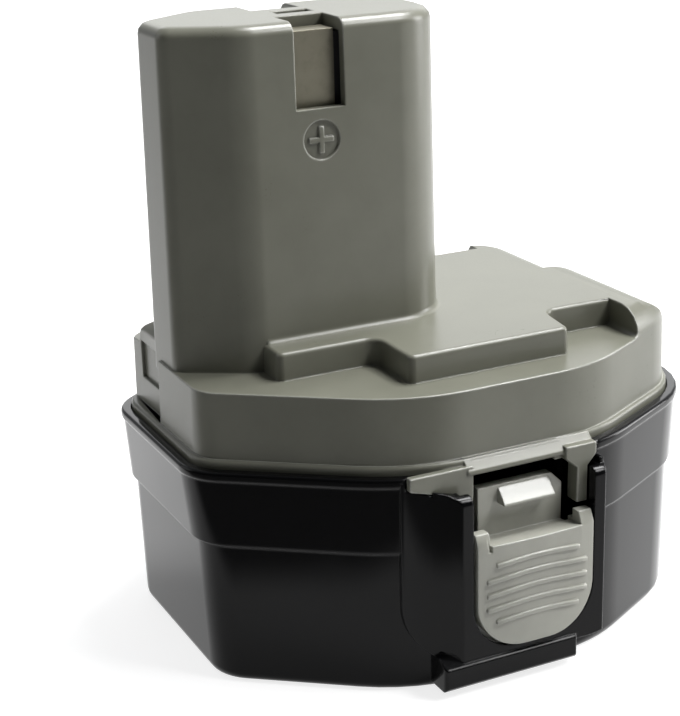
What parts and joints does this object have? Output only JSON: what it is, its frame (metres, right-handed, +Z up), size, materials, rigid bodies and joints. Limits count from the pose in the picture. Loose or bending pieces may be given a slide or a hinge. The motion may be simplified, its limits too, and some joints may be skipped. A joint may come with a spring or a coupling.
{
  "type": "power tool battery pack",
  "caption": "Rechargeable pod-style battery pack for a pistol-grip power tool: drafted pod with contact slots, stepped housing, glossy lower case and sprung squeeze latches.",
  "frame": {"origin": "on the table under the middle of the rim", "axes": "+Z up the pod, +X from the pod towards the nose, the two latches face -Y and +Y"},
  "size_m": [0.1024, 0.0946, 0.1145],
  "materials": {
    "case": "glossy moulded black",
    "housing": "satin moulded olive grey",
    "button": "satin moulded light grey",
    "spring": "bright spring wire",
    "can": "nickel-plated steel can",
    "sleeve": "shrink sleeve",
    "nickel": "nickel strip",
    "card": "insulating fibre",
    "foam": "closed-cell foam",
    "block": "moulded insulator",
    "contact": "plated contact strip",
    "red_lead": "wire insulation",
    "black_lead": "wire insulation",
    "white_lead": "wire insulation",
    "screw": "zinc-plated screw"
  },
  "bodies": {
    "pack": {"lower_case": "case", "upper_housing": "housing", "front_latch_spring": "spring", "back_latch_spring": "spring", "base_cells": "can", "pod_cells": "can", "cell_sleeves": "sleeve", "cell_caps": "nickel", "cell_rings": "card", "bottom_tabs": "nickel", "top_tabs": "nickel", "pod_tabs": "nickel", "lower_insulator": "card", "upper_insulator": "card", "pod_insulator": "card", "foam_pads": "foam", "terminal_block": "block", "positive_terminal": "contact", "negative_terminal": "contact", "sensor_terminal": "contact", "thermal_switch": "block", "positive_lead": "red_lead", "negative_lead": "black_lead", "sensor_lead": "white_lead", "case_screws": "screw"},
    "front_latch": {"front_latch_button": "button"},
    "back_latch": {"back_latch_button": "button"}
  },
  "joints": [
    {"name": "front_latch_press", "type": "slide", "parent": "pack", "child": "front_latch", "axis": [0, 1, 0], "range_m": [0, 0.0035], "stiffness_N_per_m": 600, "springref_m": -0.005, "deforming": ["front_latch_spring"]},
    {"name": "back_latch_press", "type": "slide", "parent": "pack", "child": "back_latch", "axis": [0, -1, 0], "range_m": [0, 0.0035], "stiffness_N_per_m": 600, "springref_m": -0.005, "deforming": ["back_latch_spring"]}
  ]
}
